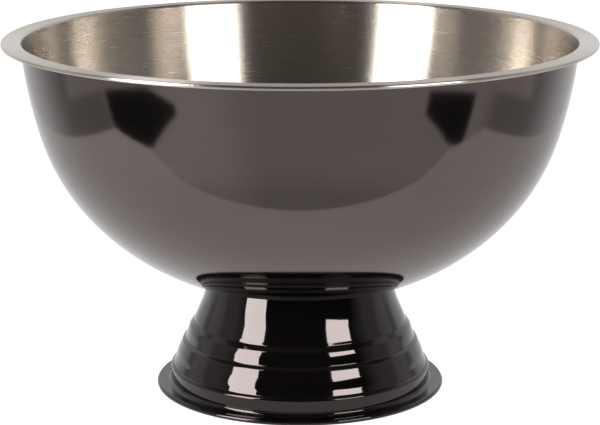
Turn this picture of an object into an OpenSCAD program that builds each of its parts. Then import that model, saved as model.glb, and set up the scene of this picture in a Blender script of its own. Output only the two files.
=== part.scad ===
// Punch bowl on a stepped foot, in millimetres, +Z up.
// The origin is on the table, on the bowl's axis.
// The bowl and the foot are sheet metal. A stud welded under the bowl passes
// through the top plate of the foot and is clamped there by a nut and washers.

/* [Bowl] */
// Diameter over the rolled rim
rim_d = 400; // [380:1:420]
// Height of the rim above the table
rim_z = 242; // [225:0.5:255]
// Width of the flat rim, from the outside of the wall to the outside of the roll
flange_w = 13; // [9:0.5:16]
// Radius of the rolled edge of the rim
rim_roll_r = 1.3; // [1.2:0.05:1.8]
// Thickness of the bowl's sheet
bowl_t = 0.7; // [0.5:0.05:0.8]

/* [Foot] */
// Height of the foot's top plate
foot_h = 77.4; // [70:0.1:82]
// Diameter over the rolled edge of the foot
base_d = 199; // [196:1:230]
// Radius of the corner between the top plate and the wall
foot_top_r = 62.6; // [58:0.1:66]
// Radius of the upright skirt above the base flange
skirt_r = 89.8; // [86:0.1:91]
// Radius of the rolled edge of the foot
foot_roll_r = 1.7; // [1.6:0.05:2]
// Thickness of the foot's sheet
foot_t = 0.7; // [0.5:0.05:0.8]

/* [Fixing] */
// Diameter of the stud's thread
thread_d = 8; // [6:1:10]
// Length of the stud below its disc
stud_l = 20; // [19:0.5:30]
// Diameter of the disc welded under the bowl
disc_d = 80; // [50:1:84]
// Thickness of the disc
disc_t = 1; // [0.8:0.1:1.5]
// Diameter of the rubber gasket
gasket_d = 92; // [60:1:96]
// Thickness of the gasket
gasket_t = 1.5; // [1:0.1:2.5]
// Diameter of the plate washer inside the foot
plate_d = 60; // [30:1:80]
// Thickness of the plate washer
plate_t = 2; // [1:0.1:3]

/* [Hidden] */
$fn = 180;
// How far the chords of an arc may lie inside it
arc_sag = 0.01;
arc_steps_min = 4;
// Points closer than this are one point
same_point = 1e-6;
// How far a cutting shape runs past the face that it cuts
cut = 1;

// Bowl outline: four arcs that run into one another, from the flat bottom up.
// Each has a radius on the outside and ends where the wall leans out from the
// vertical by the given angle.
bowl_z = foot_h + gasket_t + disc_t;
corner_r = 0.055 * rim_d;
belly_r = 0.42 * rim_d;
shoulder_r = 0.3625 * rim_d;
side_r = 0.735 * rim_d;
corner_lean = 66.5;
belly_lean = 43.5;
shoulder_lean = 17;
bend_r = 1.3;

// Direction in which the rolled edges of the rim and the foot end
roll_end = -195;

// Foot outline: three tiers with a ledge under each, above an upright skirt. Rows of
// [share of the way from foot_top_r to skirt_r, share of foot_h, fillet radius].
TIERS = [[0.158, 0.788, 60], [0.364, 0.620, 10], [0.390, 0.593, 1.5],
         [0.500, 0.549, 2], [0.544, 0.512, 20], [0.603, 0.433, 2],
         [0.695, 0.408, 2], [0.805, 0.320, 30], [0.860, 0.251, 10], [0.923, 0.202, 1.2], [1, 0.185, 2]];
top_fillet = 2.5;
flange_z = 3.1;
flange_fillet = 2.5;
land_depth = 0.1;
clearance_r = 2;

// Fixing, in proportion to its thread
thread_r = thread_d / 2;
stud_play = 0.05;
stud_chamfer = 1;
plate_play = 0.2;
weld_r = 1.5 * thread_r;
weld_h = 1;
nut_flats = 1.625 * thread_d;
nut_h = 0.8125 * thread_d;
nut_chamfer = 30;
nut_face_r = 0.95 * nut_flats / 2;
spring_t = 0.25 * thread_d;
spring_r = 0.925 * thread_d;
spring_gap = 1.6;
spring_slant = 25;
plate_z = foot_h - foot_t - plate_t;
spring_z = plate_z - spring_t;
nut_z = spring_z - nut_h;

function unit(v) = v / norm(v);

// Points along an arc about c, from angle a0 to a1
function arc(c, r, a0, a1) =
    let (n = max(arc_steps_min, ceil(abs(a1 - a0) / (2 * acos(1 - arc_sag / r)))))
    [for (i = [0:n]) let (a = a0 + (a1 - a0) * i / n) c + r * [cos(a), sin(a)]];

// Direction out of the bowl where its wall leans out by angle a
function out(a) = [cos(a), -sin(a)];

// Arc that rounds the corner b between a and c; r = 0 keeps the corner
function fillet(a, b, c, r) =
    r == 0 ? [b] :
    let (u = unit(a - b), v = unit(c - b),
         half = acos(u * v) / 2,
         m = b + unit(u + v) * r / sin(half),
         s = b + u * r / tan(half) - m,
         turn = sign(u.x * v.y - u.y * v.x) * (2 * half - 180),
         a0 = atan2(s.y, s.x))
    arc(m, r, a0, a0 + turn);

// Open path through the corners [x, y, fillet radius]
function rounded(p) = [
    for (i = [0:len(p) - 1])
        let (b = [p[i].x, p[i].y])
        if (i == 0 || i == len(p) - 1) b
        else each fillet([p[i - 1].x, p[i - 1].y], b, [p[i + 1].x, p[i + 1].y], p[i].z)
];

// The path moved to its right by t, with mitred corners
function beside(p, t) = [
    for (i = [0:len(p) - 1])
        let (u = unit(p[min(i + 1, len(p) - 1)] - p[min(i, len(p) - 2)]),
             w = unit(p[max(i, 1)] - p[max(i - 1, 0)]),
             m = unit(u + w))
        p[i] + [m.y, -m.x] * t / (m * u)
];

// A path with repeated points taken out
function clean(p) = [
    for (i = [0:len(p) - 1])
        if (i == 0 || norm(p[i] - p[max(i - 1, 0)]) > same_point) p[i]
];

function reversed(p) = [for (i = [len(p) - 1:-1:0]) p[i]];

// Sheet metal turned about Z, with its visible face on the path
module turned_sheet(path, t) {
    p = clean(path);
    rotate_extrude() polygon(concat(p, reversed(beside(p, t))));
}

// Flat ring standing on z
module ring(r_out, r_in, t, z) {
    translate([0, 0, z]) difference() {
        cylinder(r = r_out, h = t);
        translate([0, 0, -cut]) cylinder(r = r_in, h = t + 2 * cut);
    }
}

// Inside face of the bowl, from its centre over the flat rim and round the roll
function bowl_path() =
    let (c0 = [0, bowl_z + corner_r],
         c1 = c0 + (corner_r - belly_r) * out(corner_lean),
         c2 = c1 + (belly_r - shoulder_r) * out(belly_lean),
         c3 = c2 + (shoulder_r - side_r) * out(shoulder_lean),
         top_lean = asin((c3.y - rim_z + bend_r + bowl_t) / (side_r + bend_r)),
         flat_r = rim_d / 2 - flange_w - c3.x - side_r * cos(top_lean),
         move = [flat_r, 0],
         bend = c3 + move + (side_r + bend_r) * out(top_lean),
         roll = [rim_d / 2 - rim_roll_r, rim_z - rim_roll_r])
    concat([[0, bowl_z + bowl_t]],
           arc(c0 + move, corner_r - bowl_t, -90, -corner_lean),
           arc(c1 + move, belly_r - bowl_t, -corner_lean, -belly_lean),
           arc(c2 + move, shoulder_r - bowl_t, -belly_lean, -shoulder_lean),
           arc(c3 + move, side_r - bowl_t, -shoulder_lean, -top_lean),
           arc(bend, bend_r + bowl_t, 180 - top_lean, 90),
           arc(roll, rim_roll_r, 90, roll_end));

// Outside face of the foot, from the stud's hole down the ledges and round the roll
function foot_path() =
    let (roll = [base_d / 2 - foot_roll_r, foot_roll_r - land_depth],
         meet = asin((flange_z - roll.y) / foot_roll_r),
         land = acos((foot_roll_r - land_depth) / foot_roll_r))
    concat(rounded(concat(
               [[thread_r + clearance_r, foot_h, 0], [foot_top_r, foot_h, top_fillet]],
               [for (t = TIERS) [foot_top_r + (skirt_r - foot_top_r) * t[0], foot_h * t[1], t[2]]],
               [[skirt_r, flange_z, flange_fillet],
                [roll.x - foot_roll_r * cos(meet), flange_z, 0]])),
           arc(roll, foot_roll_r, 180 - meet, land - 90),
           arc(roll, foot_roll_r, -90 - land, roll_end));

module bowl() {
    color("dimgray") turned_sheet(bowl_path(), bowl_t);
}

// Disc spot-welded under the bowl; it spreads the pull of the stud
module reinforcing_disc() {
    color("silver") translate([0, 0, bowl_z - disc_t]) cylinder(d = disc_d, h = disc_t);
}

// Weld stud: root, shank and a chamfered end
module threaded_stud() {
    top = bowl_z - disc_t;
    shank_r = thread_r - stud_play;
    color("silver") {
        translate([0, 0, top - weld_h]) cylinder(r = weld_r, h = weld_h);
        translate([0, 0, top - stud_l + stud_chamfer]) cylinder(r = shank_r, h = stud_l - stud_chamfer);
        translate([0, 0, top - stud_l]) cylinder(r1 = shank_r - stud_chamfer, r2 = shank_r, h = stud_chamfer);
    }
}

// Rubber ring between the foot's top plate and the disc
module seat_gasket() {
    color("black") ring(gasket_d / 2, weld_r + clearance_r, gasket_t, foot_h);
}

module foot() {
    color("black") turned_sheet(foot_path(), foot_t);
}

module plate_washer() {
    color("silver") ring(plate_d / 2, thread_r + plate_play, plate_t, plate_z);
}

// Split spring washer, pressed flat
module spring_washer() {
    color("gray") difference() {
        ring(spring_r, thread_r + stud_play, spring_t, spring_z);
        translate([spring_r / 2, 0, spring_z + spring_t / 2]) rotate([spring_slant, 0, 0])
            cube([spring_r + 2 * cut, spring_gap, spring_t + 2 * cut], center = true);
    }
}

// Hexagon nut with both ends chamfered
module hex_nut() {
    corner = nut_flats / 2 / cos(30);
    chamfer_h = (corner - nut_face_r) * tan(nut_chamfer);
    color("silver") translate([0, 0, nut_z]) difference() {
        intersection() {
            cylinder(r = corner, h = nut_h, $fn = 6);
            rotate_extrude() polygon([[0, 0], [nut_face_r, 0], [corner, chamfer_h],
                                      [corner, nut_h - chamfer_h], [nut_face_r, nut_h], [0, nut_h]]);
        }
        translate([0, 0, -cut]) cylinder(r = thread_r, h = nut_h + 2 * cut);
    }
}

bowl();
reinforcing_disc();
threaded_stud();
seat_gasket();
foot();
plate_washer();
spring_washer();
hex_nut();
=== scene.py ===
import math

import bmesh
import bpy
import numpy as np
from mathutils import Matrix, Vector


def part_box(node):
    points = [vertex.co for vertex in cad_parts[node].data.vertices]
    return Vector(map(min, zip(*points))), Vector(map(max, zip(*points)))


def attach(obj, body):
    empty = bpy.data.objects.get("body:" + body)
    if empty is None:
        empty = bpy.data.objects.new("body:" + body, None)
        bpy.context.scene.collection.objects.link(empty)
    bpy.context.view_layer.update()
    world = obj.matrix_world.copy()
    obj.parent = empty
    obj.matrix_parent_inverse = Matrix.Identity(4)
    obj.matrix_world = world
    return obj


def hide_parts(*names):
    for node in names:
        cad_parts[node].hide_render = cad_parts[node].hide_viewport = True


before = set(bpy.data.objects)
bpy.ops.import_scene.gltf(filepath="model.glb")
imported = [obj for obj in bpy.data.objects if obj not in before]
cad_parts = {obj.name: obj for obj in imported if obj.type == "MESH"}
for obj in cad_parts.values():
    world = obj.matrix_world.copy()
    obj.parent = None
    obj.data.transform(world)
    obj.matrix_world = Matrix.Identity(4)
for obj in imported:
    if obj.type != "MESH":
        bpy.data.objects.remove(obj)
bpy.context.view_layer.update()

MM = 0.001
scene = bpy.context.scene

# ---------------------------------------------------------------- sizes, in millimetres


def span(node):
    """The two corners of a piece's box."""
    low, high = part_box(node)
    return low / MM, high / MM


bowl_low, bowl_high = span("bowl")
foot_high = span("foot")[1]
disc_low, disc_high = span("reinforcing_disc")
gasket_low, gasket_high = span("seat_gasket")
plate_low, plate_high = span("plate_washer")
spring_low, spring_high = span("spring_washer")
nut_low, nut_high = span("hex_nut")
stud_low, stud_high = span("threaded_stud")

SHEET = 0.7

# Bowl: radii of the arcs of its outside, and how far from the vertical the wall leans
# where one arc runs into the next, in degrees
RIM_R = bowl_high.x
RIM_Z = bowl_high.z
BOWL_Z = bowl_low.z
CORNER_R, BELLY_R, SHOULDER_R, SIDE_R = (RIM_R * k for k in (0.11, 0.84, 0.725, 1.47))
CORNER_LEAN, BELLY_LEAN, SHOULDER_LEAN = 66.5, 43.5, 17.0
FLANGE_W = 13.0
RIM_ROLL_R = 1.3
BEND_R = 1.3
ROLL_END = -195.0  # direction in which both rolled edges end, in degrees

# Foot
FOOT_H = foot_high.z
BASE_R = foot_high.x
FOOT_TOP_R = 62.6
SKIRT_R = 89.8
FOOT_ROLL_R = 1.7
FOOT_HOLE_R = 6.0
TOP_FILLET = 2.5
TIERS = (  # share of the way from the top's radius to the skirt's, share of the height, fillet
    (0.158, 0.788, 60), (0.364, 0.620, 10), (0.390, 0.593, 1.5),
    (0.500, 0.549, 2), (0.544, 0.512, 20), (0.603, 0.433, 2),
    (0.695, 0.408, 2), (0.805, 0.320, 30), (0.860, 0.251, 10),
    (0.923, 0.202, 1.2), (1.000, 0.185, 2),
)
FOOT_FLANGE_Z, FOOT_FLANGE_FILLET = 3.1, 2.5
LAND_DEPTH = 0.1  # how much of the roll's underside is flat

# Fixing
DISC_EDGE_R, GASKET_EDGE_R, PLATE_EDGE_R = 0.3, 0.5, 0.35
GASKET_HOLE_R, PLATE_HOLE_R, SPRING_HOLE_R = 8.0, 4.2, 4.05
SPRING_GAP, SPRING_EDGE = 1.6, 0.25
SPRING_SLANT = 25.0  # of the split, in degrees
STUD_R, STUD_CHAMFER = 3.95, 1.0
THREAD_PITCH, THREAD_DEPTH = 1.25, 0.62
GROOVE_TOP, GROOVE_SLOPE = 1.15, 2.6  # the thread's groove over one pitch, cut off at 0 and 1
WELD_R, WELD_H = 6.0, 1.0
WELD_BEVEL_R, WELD_BEVEL_H = 0.5, 0.35
NUT_FLATS, NUT_BORE_R, NUT_SINK = 13.0, 4.0, 0.5
NUT_FACE_R = 0.95 * NUT_FLATS / 2
NUT_CHAMFER = 30.0  # in degrees
NUT_CHAMFER_LEVELS = (0.0, 0.15, 0.3, 0.5, 0.75, 1.0)

# How finely the meshes are cut
ARC_SAG = 0.0025  # how far a chord may lie inside its arc
ARC_STEPS_MIN = 4
BEND_STEPS, RIM_ROLL_STEPS, FOOT_ROLL_STEPS, FOOT_HEM_STEPS = 8, 28, 20, 12
SHEET_STEPS, RING_STEPS = 288, 144
STUD_STEPS, STUD_ROWS_PER_PITCH, SPRING_STEPS, NUT_STEPS = 48, 12, 90, 120
SAME_POINT = 1e-6


def linked(name, data):
    obj = bpy.data.objects.new(name, data)
    scene.collection.objects.link(obj)
    return obj


def turns(steps):
    """Angles evenly round a full turn."""
    return [2 * math.pi * j / steps for j in range(steps)]


# ---------------------------------------------------------------- turned meshes
# A path is a list of rows [point, n_in, n_out]: a point (x, z) of the half section, and
# the normals with which the surface reaches it and leaves it. Normals are to the left.


def left(d):
    d = np.array((-d[1], d[0]), float)
    return d / np.linalg.norm(d)


def arc(c, r, a0, a1, least=ARC_STEPS_MIN):
    step = 2 * math.degrees(math.acos(1 - ARC_SAG / r))
    n = max(least, math.ceil(abs(a1 - a0) / step))
    side = -1.0 if a1 > a0 else 1.0
    rows = []
    for i in range(n + 1):
        a = math.radians(a0 + (a1 - a0) * i / n)
        u = np.array((math.cos(a), math.sin(a)))
        rows.append([np.array(c, float) + r * u, side * u, side * u])
    return rows


def corner(x, z):
    return [[np.array((x, z), float), None, None]]


def fillet(a, b, c, r):
    """The arc that rounds the corner b between a and c."""
    a, b, c = (np.array(p, float) for p in (a, b, c))
    u, v = (a - b) / np.linalg.norm(a - b), (c - b) / np.linalg.norm(c - b)
    half = math.acos(max(-1.0, min(1.0, float(u @ v)))) / 2
    bisector = (u + v) / np.linalg.norm(u + v)
    centre = b + bisector * r / math.sin(half)
    start = b + u * r / math.tan(half) - centre
    turn = math.copysign(180 - 2 * math.degrees(half), u[1] * v[0] - u[0] * v[1])
    a0 = math.degrees(math.atan2(start[1], start[0]))
    return arc(centre, r, a0, a0 + turn)


def rounded(points):
    """An open path through corners (x, z, fillet radius)."""
    rows = []
    for i, (x, z, r) in enumerate(points):
        if r == 0 or i in (0, len(points) - 1):
            rows += corner(x, z)
        else:
            rows += fillet(points[i - 1][:2], (x, z), points[i + 1][:2], r)
    return rows


def joined(rows, closed):
    """Merges repeated points and fills in the normals at plain corners."""
    out = []
    for p, n0, n1 in rows:
        if out and np.linalg.norm(out[-1][0] - p) < SAME_POINT:
            out[-1][2] = n1
        else:
            out.append([p, n0, n1])
    count = len(out)
    for i in range(count):
        before = out[i - 1][0] if i or closed else None
        after = out[(i + 1) % count][0] if i < count - 1 or closed else None
        if out[i][1] is None and before is not None:
            out[i][1] = left(out[i][0] - before)
        if out[i][2] is None:
            out[i][2] = left(after - out[i][0]) if after is not None else out[i][1]
        if out[i][1] is None:
            out[i][1] = out[i][2]
    return out


def on_axis(x):
    return x < SAME_POINT


def sheet_rows(face):
    """Both sides of a sheet of metal, from the rows of its visible face."""
    face = joined(face, False)
    back = []
    for p, n0, n1 in reversed(face):
        m = (n0 + n1) / np.linalg.norm(n0 + n1)
        back.append([p - m * SHEET / float(m @ n1), -n1, -n0])
    hem = left(back[0][0] - face[-1][0])
    face[-1][2], back[0][1] = hem, hem
    if not on_axis(face[0][0][0]):
        edge = left(face[0][0] - back[-1][0])
        back[-1][2], face[0][1] = edge, edge
    return face, back


def solid_rows(points, r):
    """A half section with its corners rounded, from corners (x, z) given clockwise."""
    rows = []
    for i, (x, z) in enumerate(points):
        if on_axis(x):
            rows += corner(x, z)
        else:
            rows += fillet(points[i - 1], (x, z), points[(i + 1) % len(points)], r)
    return joined(rows, not on_axis(points[0][0]))


def lathe(name, rows, materials, steps, material_of=None):
    """A mesh turned about Z, with exact smooth normals. A half section that doesn't
    start on the axis is closed."""
    closed = not on_axis(rows[0][0][0])
    if closed:
        rows = rows + [[rows[0][0], rows[0][1], rows[0][1]]]
    last_row = len(rows) - 1
    ring = [(math.cos(a), math.sin(a)) for a in turns(steps)]
    verts, first = [], []
    for i, (p, _, _) in enumerate(rows):
        if closed and i == last_row:
            first.append(first[0])
            continue
        first.append(len(verts))
        if on_axis(p[0]):
            verts.append((0.0, 0.0, p[1] * MM))
        else:
            verts += [(p[0] * MM * c, p[0] * MM * s, p[1] * MM) for c, s in ring]
    faces, normals, index = [], [], []

    def turned(n, j):
        c, s = ring[j]
        return (n[0] * c, n[0] * s, n[1])

    for i in range(last_row):
        a_pole, b_pole = on_axis(rows[i][0][0]), on_axis(rows[i + 1][0][0])
        if a_pole and b_pole:
            continue
        na, nb = rows[i][2], rows[i + 1][1]
        slot = material_of(i) if material_of else 0
        a, b = first[i], first[i + 1]
        for j in range(steps):
            k = (j + 1) % steps
            if a_pole:
                faces.append((a, b + j, b + k))
                normals += [turned(na, j), turned(nb, j), turned(nb, k)]
            elif b_pole:
                faces.append((a + j, b, a + k))
                normals += [turned(na, j), turned(nb, j), turned(na, k)]
            else:
                faces.append((a + j, b + j, b + k, a + k))
                normals += [turned(na, j), turned(nb, j), turned(nb, k), turned(na, k)]
            index.append(slot)
    mesh = bpy.data.meshes.new(name)
    mesh.from_pydata(verts, [], faces)
    for m in materials:
        mesh.materials.append(m)
    mesh.polygons.foreach_set("material_index", index)
    mesh.polygons.foreach_set("use_smooth", [True] * len(faces))
    mesh.normals_split_custom_set(normals)
    mesh.update()
    return linked(name, mesh)


# ---------------------------------------------------------------- other meshes


def circle(r, z, steps):
    return [(r * math.cos(a), r * math.sin(a), z) for a in turns(steps)]


def grid_mesh(points):
    """Quads between rows of points, each row running once round Z."""
    cols = len(points[0])
    bm = bmesh.new()
    rows = [[bm.verts.new(Vector(p) * MM) for p in row] for row in points]
    for one, two in zip(rows, rows[1:]):
        for j in range(cols):
            k = (j + 1) % cols
            bm.faces.new((one[j], two[j], two[k], one[k]))
    return bm, rows


def finish_mesh(bm, name, mat, sharp_deg):
    bmesh.ops.recalc_face_normals(bm, faces=bm.faces)
    mesh = bpy.data.meshes.new(name)
    bm.to_mesh(mesh)
    bm.free()
    mesh.polygons.foreach_set("use_smooth", [True] * len(mesh.polygons))
    mesh.set_sharp_from_angle(angle=math.radians(sharp_deg))
    mesh.materials.append(mat)
    return linked(name, mesh)


# ---------------------------------------------------------------- node helpers

NOISE_RANGE = (0.3, 0.7)  # the part of a noise's range that spread() uses
SCRATCH_RANGE = (0.68, 0.76)  # over which a noise turns into a scratch
AXIS_R = 1e-4  # keeps a division off zero on the axis, in metres


class Nodes:
    """Short calls for building a node tree of numbers."""

    def __init__(self, tree):
        self.tree = tree
        tree.nodes.clear()

    def node(self, kind, **settings):
        n = self.tree.nodes.new(kind)
        for k, v in settings.items():
            setattr(n, k, v)
        return n

    def put(self, socket, value):
        if isinstance(value, bpy.types.NodeSocket):
            self.tree.links.new(value, socket)
        else:
            socket.default_value = value

    def filled(self, n, values):
        """A node's first output, after its inputs are filled in order."""
        for socket, value in zip(n.inputs, values):
            self.put(socket, value)
        return n.outputs[0]

    def math(self, op, *args):
        return self.filled(self.node("ShaderNodeMath", operation=op), args)

    def plus(self, base, value, factor):
        """base + value * factor"""
        return self.math("MULTIPLY_ADD", value, factor, base)

    def weighed(self, a, b, share):
        """a and b in the shares share and 1 - share."""
        return self.plus(self.math("MULTIPLY", b, 1 - share), a, share)

    def smooth(self, value, low, high, a=0.0, b=1.0):
        n = self.node("ShaderNodeMapRange", interpolation_type="SMOOTHSTEP")
        return self.filled(n, (value, low, high, a, b))

    def linear(self, value, low, high, a=0.0, b=1.0):
        return self.filled(self.node("ShaderNodeMapRange"), (value, low, high, a, b))

    def spread(self, noise, a=0.0, b=1.0):
        """A noise spread from a to b."""
        return self.linear(noise, *NOISE_RANGE, a, b)

    def blend(self, a, b, mask):
        """a where mask is 0, b where it is 1, for numbers."""
        n = self.node("ShaderNodeMix", data_type="FLOAT")
        self.put(n.inputs["Factor"], mask)
        self.put(n.inputs["A"], a)
        self.put(n.inputs["B"], b)
        return n.outputs[0]

    def colour(self, a, b, mask):
        """a where mask is 0, b where it is 1, for colours (the mix node's sockets 6 and 7)."""
        n = self.node("ShaderNodeMix", data_type="RGBA")
        self.put(n.inputs["Factor"], mask)
        self.put(n.inputs[6], (*a, 1.0))
        self.put(n.inputs[7], (*b, 1.0))
        return n.outputs[2]

    def window(self, value, low, high, soft):
        """1 between low and high, with soft edges."""
        up = self.smooth(value, low - soft / 2, low + soft / 2)
        down = self.smooth(value, high - soft / 2, high + soft / 2, 1.0, 0.0)
        return self.math("MULTIPLY", up, down)

    def right_of_line(self, x, y, p, q, soft):
        """1 on the right-hand side of the line from p to q, with a soft edge."""
        d = math.hypot(q[0] - p[0], q[1] - p[1])
        nx, ny = (q[1] - p[1]) / d, -(q[0] - p[0]) / d
        along = self.math("MULTIPLY_ADD", x, nx, -(p[0] * nx + p[1] * ny))
        return self.smooth(self.plus(along, y, ny), -soft / 2, soft / 2)

    def noise(self, vector, scale=1.0, detail=2.0):
        n = self.node("ShaderNodeTexNoise")
        self.put(n.inputs["Vector"], vector)
        n.inputs["Scale"].default_value = scale
        n.inputs["Detail"].default_value = detail
        return n.outputs["Fac"]

    def object_vector(self):
        return self.node("ShaderNodeTexCoord").outputs["Object"]

    def turned_vector(self, around, along):
        """A vector for streaks that run round the Z axis: around sets how often they
        change along their length, along how many there are per metre of section."""
        xyz = self.node("ShaderNodeSeparateXYZ")
        self.put(xyz.inputs[0], self.object_vector())
        x, y, z = xyz.outputs
        r = self.math("SQRT", self.math("MULTIPLY_ADD", x, x, self.math("MULTIPLY", y, y)))
        safe = self.math("MAXIMUM", r, AXIS_R)
        cx = self.math("MULTIPLY", self.math("DIVIDE", x, safe), around)
        cy = self.math("MULTIPLY", self.math("DIVIDE", y, safe), around)
        s = self.math("MULTIPLY", self.math("ADD", r, z), along)
        return self.filled(self.node("ShaderNodeCombineXYZ"), (cx, cy, s))

    def scratches(self, around, along):
        """Sparse fine scratches that run round the Z axis: 1 in a scratch, else 0."""
        return self.smooth(self.noise(self.turned_vector(around, along), detail=1.0), *SCRATCH_RANGE)

    def bump(self, height, strength, distance):
        n = self.node("ShaderNodeBump")
        n.inputs["Strength"].default_value = strength
        n.inputs["Distance"].default_value = distance
        self.put(n.inputs["Height"], height)
        return n.outputs[0]


# ---------------------------------------------------------------- materials


def material(name, **constants):
    """A material with one shader, with constants for the shader's sockets."""
    m = bpy.data.materials.new(name)
    m.use_nodes = True
    g = Nodes(m.node_tree)
    shader = g.node("ShaderNodeBsdfPrincipled")
    for socket, value in constants.items():
        shader.inputs[socket.replace("_", " ")].default_value = value
    out = g.node("ShaderNodeOutputMaterial")
    g.put(out.inputs["Surface"], shader.outputs[0])
    return m, g, shader.inputs


def brushed_inside():
    """Bare steel, brushed round the axis, with its highlights drawn out across the brushing."""
    m, g, sockets = material("brushed_steel", Metallic=1.0, Anisotropic=1.0, Anisotropic_Rotation=0.25)
    tangent = g.node("ShaderNodeTangent", direction_type="RADIAL", axis="Z")
    g.put(sockets["Tangent"], tangent.outputs[0])
    fine = g.noise(g.turned_vector(around=1.5, along=2600.0), detail=3.0)
    medium = g.noise(g.turned_vector(around=3.0, along=420.0))
    cloud = g.noise(g.object_vector(), scale=9.0)
    scratch = g.scratches(around=9.0, along=700.0)
    tone = g.spread(g.weighed(medium, cloud, share=0.6))
    g.put(sockets["Base Color"], g.colour((0.515, 0.462, 0.405), (0.55, 0.495, 0.435), tone))
    rough = g.spread(g.weighed(fine, medium, share=0.5), 0.262, 0.276)
    g.put(sockets["Roughness"], g.plus(rough, scratch, factor=0.015))
    height = g.plus(g.plus(fine, medium, factor=0.1), scratch, factor=-0.1)
    g.put(sockets["Normal"], g.bump(height, strength=0.014, distance=0.00002))
    return m


def gunmetal_outside():
    """A dark mirror, slightly wavy round the axis."""
    m, g, sockets = material("gunmetal_mirror", Metallic=1.0)
    lines = g.noise(g.turned_vector(around=2.0, along=500.0))
    cloud = g.noise(g.object_vector(), scale=12.0, detail=3.0)
    scratch = g.scratches(around=14.0, along=420.0)
    tone = g.weighed(lines, cloud, share=0.4)
    g.put(sockets["Base Color"], g.colour((0.122, 0.101, 0.097), (0.136, 0.113, 0.108), g.spread(tone)))
    g.put(sockets["Roughness"], g.plus(g.spread(tone, 0.06, 0.10), scratch, factor=0.05))
    wave = g.noise(g.turned_vector(around=1.5, along=60.0), detail=1.0)
    g.put(sockets["Normal"], g.bump(wave, strength=0.3, distance=0.00004))
    return m


def enamel():
    """Gloss black enamel with the ripple of the sheet and a fine orange peel."""
    m, g, sockets = material("black_enamel", Specular_Tint=(1.0, 0.86, 0.83, 1.0), IOR=1.52)
    cloud = g.noise(g.object_vector(), scale=15.0, detail=3.0)
    scratch = g.scratches(around=20.0, along=260.0)
    g.put(sockets["Base Color"], g.colour((0.0012, 0.0010, 0.0010), (0.0024, 0.0020, 0.0020), cloud))
    g.put(sockets["Roughness"], g.plus(g.spread(cloud, 0.03, 0.06), scratch, factor=0.05))
    ripple = g.noise(g.turned_vector(around=2.5, along=110.0), detail=1.0)
    peel = g.noise(g.object_vector(), scale=400.0, detail=1.0)
    g.put(sockets["Normal"], g.bump(g.plus(ripple, peel, factor=0.06), strength=0.35, distance=0.00006))
    return m


def zinc():
    """Bright zinc plate."""
    m, g, sockets = material("zinc_plate", Metallic=1.0)
    cloud = g.noise(g.object_vector(), scale=300.0, detail=3.0)
    grain = g.noise(g.object_vector(), scale=2500.0)
    g.put(sockets["Base Color"], g.colour((0.58, 0.59, 0.60), (0.72, 0.73, 0.76), g.spread(cloud)))
    g.put(sockets["Roughness"], g.spread(cloud, 0.22, 0.38))
    g.put(sockets["Normal"], g.bump(grain, strength=0.2, distance=0.00003))
    return m


def raw_steel():
    """Bare sheet with the lines of the rolling mill along X."""
    m, g, sockets = material("raw_sheet_steel", Metallic=1.0)
    grain = g.node("ShaderNodeMapping")
    g.put(grain.inputs["Vector"], g.object_vector())
    grain.inputs["Scale"].default_value = (30.0, 1800.0, 200.0)
    rolled = g.noise(grain.outputs[0])
    cloud = g.noise(g.object_vector(), scale=60.0, detail=3.0)
    g.put(sockets["Base Color"], g.colour((0.50, 0.48, 0.46), (0.66, 0.64, 0.62), g.spread(cloud)))
    g.put(sockets["Roughness"], g.spread(rolled, 0.30, 0.45))
    g.put(sockets["Normal"], g.bump(rolled, strength=0.3, distance=0.00003))
    return m


def rubber():
    m, g, sockets = material("black_rubber", Specular_IOR_Level=0.35)
    cloud = g.noise(g.object_vector(), scale=80.0, detail=3.0)
    grain = g.noise(g.object_vector(), scale=1500.0)
    g.put(sockets["Base Color"], g.colour((0.014, 0.014, 0.014), (0.030, 0.029, 0.028), cloud))
    g.put(sockets["Roughness"], g.spread(grain, 0.68, 0.85))
    g.put(sockets["Normal"], g.bump(grain, strength=0.4, distance=0.00008))
    return m


STEEL_IN, GUNMETAL, ENAMEL = brushed_inside(), gunmetal_outside(), enamel()
ZINC, RAW, RUBBER = zinc(), raw_steel(), rubber()


def place(obj, node):
    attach(obj, "root")
    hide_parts(node)


# ---------------------------------------------------------------- the bowl


def out_dir(a):
    """Direction out of the bowl where its wall leans out by a degrees."""
    return np.array((math.cos(math.radians(a)), -math.sin(math.radians(a))))


def bowl_face():
    """Inside of the bowl, from its centre over the flat rim and round the roll."""
    c0 = np.array((0.0, BOWL_Z + CORNER_R))
    c1 = c0 + (CORNER_R - BELLY_R) * out_dir(CORNER_LEAN)
    c2 = c1 + (BELLY_R - SHOULDER_R) * out_dir(BELLY_LEAN)
    c3 = c2 + (SHOULDER_R - SIDE_R) * out_dir(SHOULDER_LEAN)
    top = math.degrees(math.asin((c3[1] - RIM_Z + BEND_R + SHEET) / (SIDE_R + BEND_R)))
    flat = RIM_R - FLANGE_W - c3[0] - SIDE_R * math.cos(math.radians(top))
    move = np.array((flat, 0.0))
    bend = c3 + move + (SIDE_R + BEND_R) * out_dir(top)
    roll = (RIM_R - RIM_ROLL_R, RIM_Z - RIM_ROLL_R)
    rows = corner(0.0, BOWL_Z + SHEET)
    rows += arc(c0 + move, CORNER_R - SHEET, -90, -CORNER_LEAN)
    rows += arc(c1 + move, BELLY_R - SHEET, -CORNER_LEAN, -BELLY_LEAN)
    rows += arc(c2 + move, SHOULDER_R - SHEET, -BELLY_LEAN, -SHOULDER_LEAN)
    rows += arc(c3 + move, SIDE_R - SHEET, -SHOULDER_LEAN, -top)
    rows += arc(bend, BEND_R + SHEET, 180 - top, 90, BEND_STEPS)
    rows += arc(roll, RIM_ROLL_R, 90, ROLL_END, RIM_ROLL_STEPS)
    return rows


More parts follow.
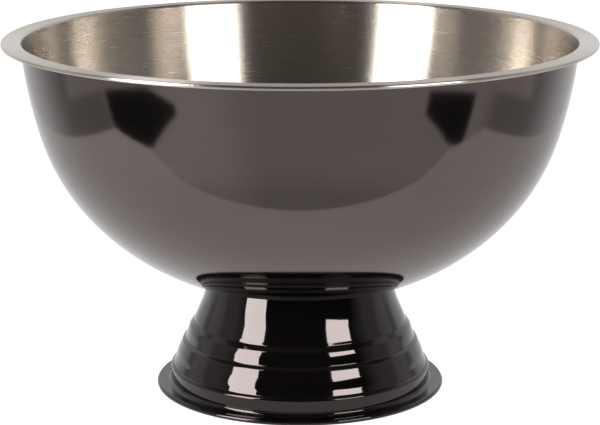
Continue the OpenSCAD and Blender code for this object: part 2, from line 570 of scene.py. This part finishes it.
def make_bowl():
    face, back = sheet_rows(bowl_face())
    bare = len(face) + RIM_ROLL_STEPS  # the bare side runs over the flange and all round the roll
    return lathe("bowl_sheet", face + back, [STEEL_IN, GUNMETAL], SHEET_STEPS,
                 material_of=lambda i: 0 if i < bare else 1)


place(make_bowl(), "bowl")

# ---------------------------------------------------------------- the foot


def foot_face():
    """Outside of the foot, from the stud's hole down the ledges and round the roll."""
    roll = (BASE_R - FOOT_ROLL_R, FOOT_ROLL_R - LAND_DEPTH)
    meet = math.degrees(math.asin((FOOT_FLANGE_Z - roll[1]) / FOOT_ROLL_R))
    land = math.degrees(math.acos((FOOT_ROLL_R - LAND_DEPTH) / FOOT_ROLL_R))
    points = [(FOOT_HOLE_R, FOOT_H, 0), (FOOT_TOP_R, FOOT_H, TOP_FILLET)]
    for across, up, round_r in TIERS:
        points.append((FOOT_TOP_R + (SKIRT_R - FOOT_TOP_R) * across, FOOT_H * up, round_r))
    points.append((SKIRT_R, FOOT_FLANGE_Z, FOOT_FLANGE_FILLET))
    points.append((roll[0] - FOOT_ROLL_R * math.cos(math.radians(meet)), FOOT_FLANGE_Z, 0))
    rows = rounded(points)
    # the roll from the crease beside it to the flat land on which the foot stands, then its hem
    rows += arc(roll, FOOT_ROLL_R, 180 - meet, land - 90, FOOT_ROLL_STEPS)
    rows += arc(roll, FOOT_ROLL_R, -90 - land, ROLL_END, FOOT_HEM_STEPS)
    return rows


def make_foot():
    face, back = sheet_rows(foot_face())
    return lathe("foot_sheet", face + back, [ENAMEL], SHEET_STEPS)


place(make_foot(), "foot")

# ---------------------------------------------------------------- the fixing


def flat_ring(name, hole_r, low, high, edge_r, mat):
    """A disc or washer with rounded edges."""
    corners = [(hole_r, high.z), (high.x, high.z), (high.x, low.z), (hole_r, low.z)]
    return lathe(name, solid_rows(corners, edge_r), [mat], RING_STEPS)


def stud_mesh():
    """Weld root and a threaded shank, with the thread as a real helix."""
    low, high = stud_low.z, stud_high.z - WELD_H
    n = int((high - low) / THREAD_PITCH * STUD_ROWS_PER_PITCH)
    points = []
    for i in range(n + 1):
        z = low + (high - low) * i / n
        row = []
        for j, a in enumerate(turns(STUD_STEPS)):
            t = (z / THREAD_PITCH - j / STUD_STEPS) % 1.0
            groove = min(1.0, max(0.0, GROOVE_TOP - abs(t - 0.5) * GROOVE_SLOPE))
            fade = min(1.0, (high - z) / THREAD_PITCH)
            r = min(STUD_R - THREAD_DEPTH * groove * fade, STUD_R - STUD_CHAMFER + (z - low))
            row.append((r * math.cos(a), r * math.sin(a), z))
        points.append(row)
    points += [circle(WELD_R - WELD_BEVEL_R, high, STUD_STEPS),
               circle(WELD_R, high + WELD_BEVEL_H, STUD_STEPS),
               circle(WELD_R, high + WELD_H, STUD_STEPS)]
    bm, rows = grid_mesh(points)
    bm.faces.new(rows[0])
    bm.faces.new(reversed(rows[-1]))
    return finish_mesh(bm, "weld_stud", ZINC, sharp_deg=50)


def spring_mesh():
    """Split spring washer pressed flat, with its ends cut on the slant."""
    inner, outer, edge = SPRING_HOLE_R, spring_high.x, SPRING_EDGE
    z0, z1 = spring_low.z, spring_high.z
    section = [(inner + edge, z0), (outer - edge, z0), (outer, z0 + edge), (outer, z1 - edge),
               (outer - edge, z1), (inner + edge, z1), (inner, z1 - edge), (inner, z0 + edge)]
    middle = (inner + outer) / 2
    half_gap = SPRING_GAP / 2 / middle
    slant = math.tan(math.radians(SPRING_SLANT))
    bm = bmesh.new()
    rings = []
    for j in range(SPRING_STEPS + 1):
        a = half_gap + (2 * math.pi - 2 * half_gap) * j / SPRING_STEPS
        ring = []
        for r, z in section:
            b = a - (z - (z0 + z1) / 2) * slant / middle
            ring.append(bm.verts.new(Vector((r * math.cos(b), r * math.sin(b), z)) * MM))
        rings.append(ring)
    for one, two in zip(rings, rings[1:]):
        for i in range(len(section)):
            k = (i + 1) % len(section)
            bm.faces.new((one[i], one[k], two[k], two[i]))
    bm.faces.new(reversed(rings[0]))
    bm.faces.new(rings[-1])
    return finish_mesh(bm, "split_spring_washer", ZINC, sharp_deg=30)


def nut_mesh():
    """Hexagon nut, chamfered at both ends, with a countersunk bore."""
    z0, z1 = nut_low.z, nut_high.z
    slope = math.tan(math.radians(NUT_CHAMFER))

    def hexagon(a):
        """Distance from the axis to the hexagon's side in the direction a; a corner is at 0."""
        side = math.pi / 3
        return NUT_FLATS / 2 / math.cos(a % side - side / 2)

    rings = [circle(NUT_BORE_R, z0 + NUT_SINK, NUT_STEPS), circle(NUT_BORE_R + NUT_SINK, z0, NUT_STEPS)]
    levels = [z0 + v for v in NUT_CHAMFER_LEVELS] + [z1 - v for v in reversed(NUT_CHAMFER_LEVELS)]
    for z in levels:
        row = []
        for a in turns(NUT_STEPS):
            r = min(hexagon(a), NUT_FACE_R + min(z - z0, z1 - z) / slope)
            row.append((r * math.cos(a), r * math.sin(a), z))
        rings.append(row)
    rings += [circle(NUT_BORE_R + NUT_SINK, z1, NUT_STEPS), circle(NUT_BORE_R, z1 - NUT_SINK, NUT_STEPS)]
    bm, rows = grid_mesh(rings)
    for j in range(NUT_STEPS):
        k = (j + 1) % NUT_STEPS
        bm.faces.new((rows[-1][j], rows[0][j], rows[0][k], rows[-1][k]))
    return finish_mesh(bm, "hexagon_nut", ZINC, sharp_deg=25)


place(flat_ring("reinforcing_disc_sheet", 0, disc_low, disc_high, DISC_EDGE_R, RAW),
      "reinforcing_disc")
place(flat_ring("gasket_ring", GASKET_HOLE_R, gasket_low, gasket_high, GASKET_EDGE_R, RUBBER),
      "seat_gasket")
place(flat_ring("plate_washer_ring", PLATE_HOLE_R, plate_low, plate_high, PLATE_EDGE_R, ZINC),
      "plate_washer")
place(stud_mesh(), "threaded_stud")
place(spring_mesh(), "spring_washer")
place(nut_mesh(), "hex_nut")

# ---------------------------------------------------------------- the table, in metres

FLOOR_SIDE, FLOOR_FRONT, FLOOR_BACK = 0.53, 0.258, 2.2  # from the bowl's axis to its edges
FLOOR_CUT_X, FLOOR_CUT_Y = 0.15, 0.09  # cut off its two front corners
FLOOR_ALBEDO = 0.25
FLOOR_GLOW, FLOOR_SEEN = 0.74, 1.0  # its light in reflections, and as the camera sees it


def floor_material():
    """A backlit white table top."""
    m = bpy.data.materials.new("floor_white")
    m.use_nodes = True
    g = Nodes(m.node_tree)
    diffuse = g.node("ShaderNodeBsdfDiffuse")
    diffuse.inputs["Color"].default_value = (FLOOR_ALBEDO, FLOOR_ALBEDO, FLOOR_ALBEDO, 1)
    glow = g.node("ShaderNodeEmission")
    seen = g.node("ShaderNodeLightPath").outputs["Is Camera Ray"]
    g.put(glow.inputs["Strength"], g.blend(FLOOR_GLOW, FLOOR_SEEN, seen))
    add = g.filled(g.node("ShaderNodeAddShader"), (diffuse.outputs[0], glow.outputs[0]))
    g.put(g.node("ShaderNodeOutputMaterial").inputs["Surface"], add)
    return m


def floor_mesh():
    cut_x, cut_y = FLOOR_SIDE - FLOOR_CUT_X, FLOOR_CUT_Y - FLOOR_FRONT
    corners = [(-cut_x, -FLOOR_FRONT), (cut_x, -FLOOR_FRONT), (FLOOR_SIDE, cut_y),
               (FLOOR_SIDE, FLOOR_BACK), (-FLOOR_SIDE, FLOOR_BACK), (-FLOOR_SIDE, cut_y)]
    bm = bmesh.new()
    bm.faces.new([bm.verts.new((x, y, 0.0)) for x, y in corners])
    mesh = bpy.data.meshes.new("floor")
    bm.to_mesh(mesh)
    bm.free()
    mesh.materials.append(floor_material())
    return linked("floor", mesh)


floor_mesh()

# ---------------------------------------------------------------- studio light

SOFTBOX_RADIANCE = 11.5
POWER_PER_RADIANCE = 4.0  # an area light's power for each square metre and unit of radiance
SOFTBOXES = (  # name, place, width and height in metres; each faces the bowl's axis
    ("softbox_left", (-0.793, -0.603, 0.57), 0.455, 0.90),
    ("softbox_right", (0.686, -0.725, 0.49), 0.475, 0.25),
)


def softbox(name, spot, width, height):
    data = bpy.data.lights.new(name, "AREA")
    data.shape = "RECTANGLE"
    data.size, data.size_y = width, height
    data.energy = SOFTBOX_RADIANCE * POWER_PER_RADIANCE * width * height
    obj = linked(name, data)
    obj.location = spot
    to_axis = Vector((-spot[0], -spot[1], 0.0))
    obj.rotation_euler = to_axis.to_track_quat("-Z", "Y").to_euler()
    obj.visible_camera = False


for row in SOFTBOXES:
    softbox(*row)

# Surroundings, painted by direction in degrees. Azimuth 0 is the camera's side and + is to
# the right; elevation 0 is the horizon. A ZONE with two values is where a level sets in; one
# with three has its low and high end and the softness of its edges.
# Above the horizon, by the size of the azimuth:
DARK_ROOM, GREY_SIDE, SIDE_ZONE = 0.025, 0.50, (62.0, 80.0)
PALE_WALL, WALL_ZONE = 0.80, (95.0, 102.0)
WALL_JOINT, JOINT_ZONE = 0.55, (118.0, 127.0, 4.0)
BACKDROP, BACKDROP_ZONE = 1.05, (126.0, 133.0)
CEILING, CEILING_ZONE = 0.10, (32.0, 55.0)  # by elevation
HORIZON_ZONE = (-4.0, 1.0)
# Below the horizon, past the edges of the table:
FRONT = 0.84
FRONT_LEFT, FRONT_LEFT_ZONE = 1.12, (-84.0, -28.0, 26.0)
FRONT_RIGHT, FRONT_RIGHT_ZONE = 0.86, (29.0, 80.0, 20.0)
STEEP_SHARE, STEEP_ZONE = 0.74, (-54.0, -38.0)  # by elevation
BESIDE, BESIDE_ZONE = 0.50, (80.0, 92.0)
BAND, BAND_ZONE, BAND_ELEVATION = 0.85, (52.0, 112.0, 8.0), (-19.0, 5.0, 1.5)
BEHIND, BEHIND_ZONE = 1.0, (110.0, 140.0)
GAP, GAP_CUT_SOFT = 0.040, 1.0
GAPS = (  # two dark gaps: azimuth, elevation, and lines that cut off corners on their left
    ((-87.0, -53.0, 2.0), (-32.5, -18.8, 1.0),
     (((-65.0, -18.8), (-53.0, -23.0)), ((-55.8, -26.8), (-68.9, -32.3)))),
    ((54.0, 77.0, 2.0), (-31.5, -19.7, 1.0),
     (((68.7, -31.4), (56.8, -26.7)),)),
)
SEEN_WHITE = 1.0  # as the camera sees the surroundings


def level_above(g, side, el):
    """Dark room behind the camera, grey sides, white backdrop."""
    level = g.linear(side, *SIDE_ZONE, DARK_ROOM, GREY_SIDE)
    level = g.blend(level, PALE_WALL, g.smooth(side, *WALL_ZONE))
    level = g.blend(level, WALL_JOINT, g.window(side, *JOINT_ZONE))
    level = g.blend(level, BACKDROP, g.smooth(side, *BACKDROP_ZONE))
    return g.blend(level, CEILING, g.smooth(el, *CEILING_ZONE))


def dark_gaps(g, az, el):
    """1 in the dark gaps beside the table, else 0."""
    gaps = 0.0
    for across, up, cuts in GAPS:
        gap = g.math("MULTIPLY", g.window(az, *across), g.window(el, *up))
        for p, q in cuts:
            gap = g.math("MULTIPLY", gap, g.right_of_line(az, el, p, q, GAP_CUT_SOFT))
        gaps = g.math("MAXIMUM", gaps, gap)
    return gaps


def level_below(g, az, side, el):
    level = g.blend(FRONT, FRONT_LEFT, g.window(az, *FRONT_LEFT_ZONE))
    level = g.blend(level, FRONT_RIGHT, g.window(az, *FRONT_RIGHT_ZONE))
    level = g.math("MULTIPLY", level, g.smooth(el, *STEEP_ZONE, STEEP_SHARE, 1.0))
    level = g.blend(level, BESIDE, g.smooth(side, *BESIDE_ZONE))
    band = g.math("MULTIPLY", g.window(side, *BAND_ZONE), g.window(el, *BAND_ELEVATION))
    level = g.blend(level, BAND, band)
    level = g.blend(level, BEHIND, g.smooth(side, *BEHIND_ZONE))
    return g.blend(level, GAP, dark_gaps(g, az, el))


def paint_world():
    world = bpy.data.worlds.new("studio")
    scene.world = world
    world.use_nodes = True
    g = Nodes(world.node_tree)
    xyz = g.node("ShaderNodeSeparateXYZ")
    g.put(xyz.inputs[0], g.node("ShaderNodeTexCoord").outputs["Generated"])
    x, y, z = xyz.outputs
    az = g.math("DEGREES", g.math("ARCTAN2", x, g.math("MULTIPLY", y, -1.0)))
    el = g.math("DEGREES", g.math("ARCSINE", z))
    side = g.math("ABSOLUTE", az)
    level = g.blend(level_below(g, az, side, el), level_above(g, side, el), g.smooth(el, *HORIZON_ZONE))
    seen = g.node("ShaderNodeLightPath").outputs["Is Camera Ray"]
    background = g.node("ShaderNodeBackground")
    g.put(background.inputs["Strength"], g.blend(level, SEEN_WHITE, seen))
    g.put(g.node("ShaderNodeOutputWorld").inputs["Surface"], background.outputs[0])


paint_world()
scene.view_settings.view_transform = "Standard"
scene.view_settings.look = "None"

# ---------------------------------------------------------------- camera

CAMERA_AT = (0.0, -1.372, 0.444)  # in metres
CAMERA_PITCH = 13.28  # degrees below level
SENSOR_W, LENS = 36.0, 123.06  # in millimetres
CLIP_END = 50.0


def add_camera():
    data = bpy.data.cameras.new("camera")
    data.sensor_width = SENSOR_W
    data.lens = LENS
    data.clip_end = CLIP_END
    camera = linked("camera", data)
    camera.location = CAMERA_AT
    camera.rotation_euler = (math.radians(90.0 - CAMERA_PITCH), 0.0, 0.0)
    scene.camera = camera


add_camera()
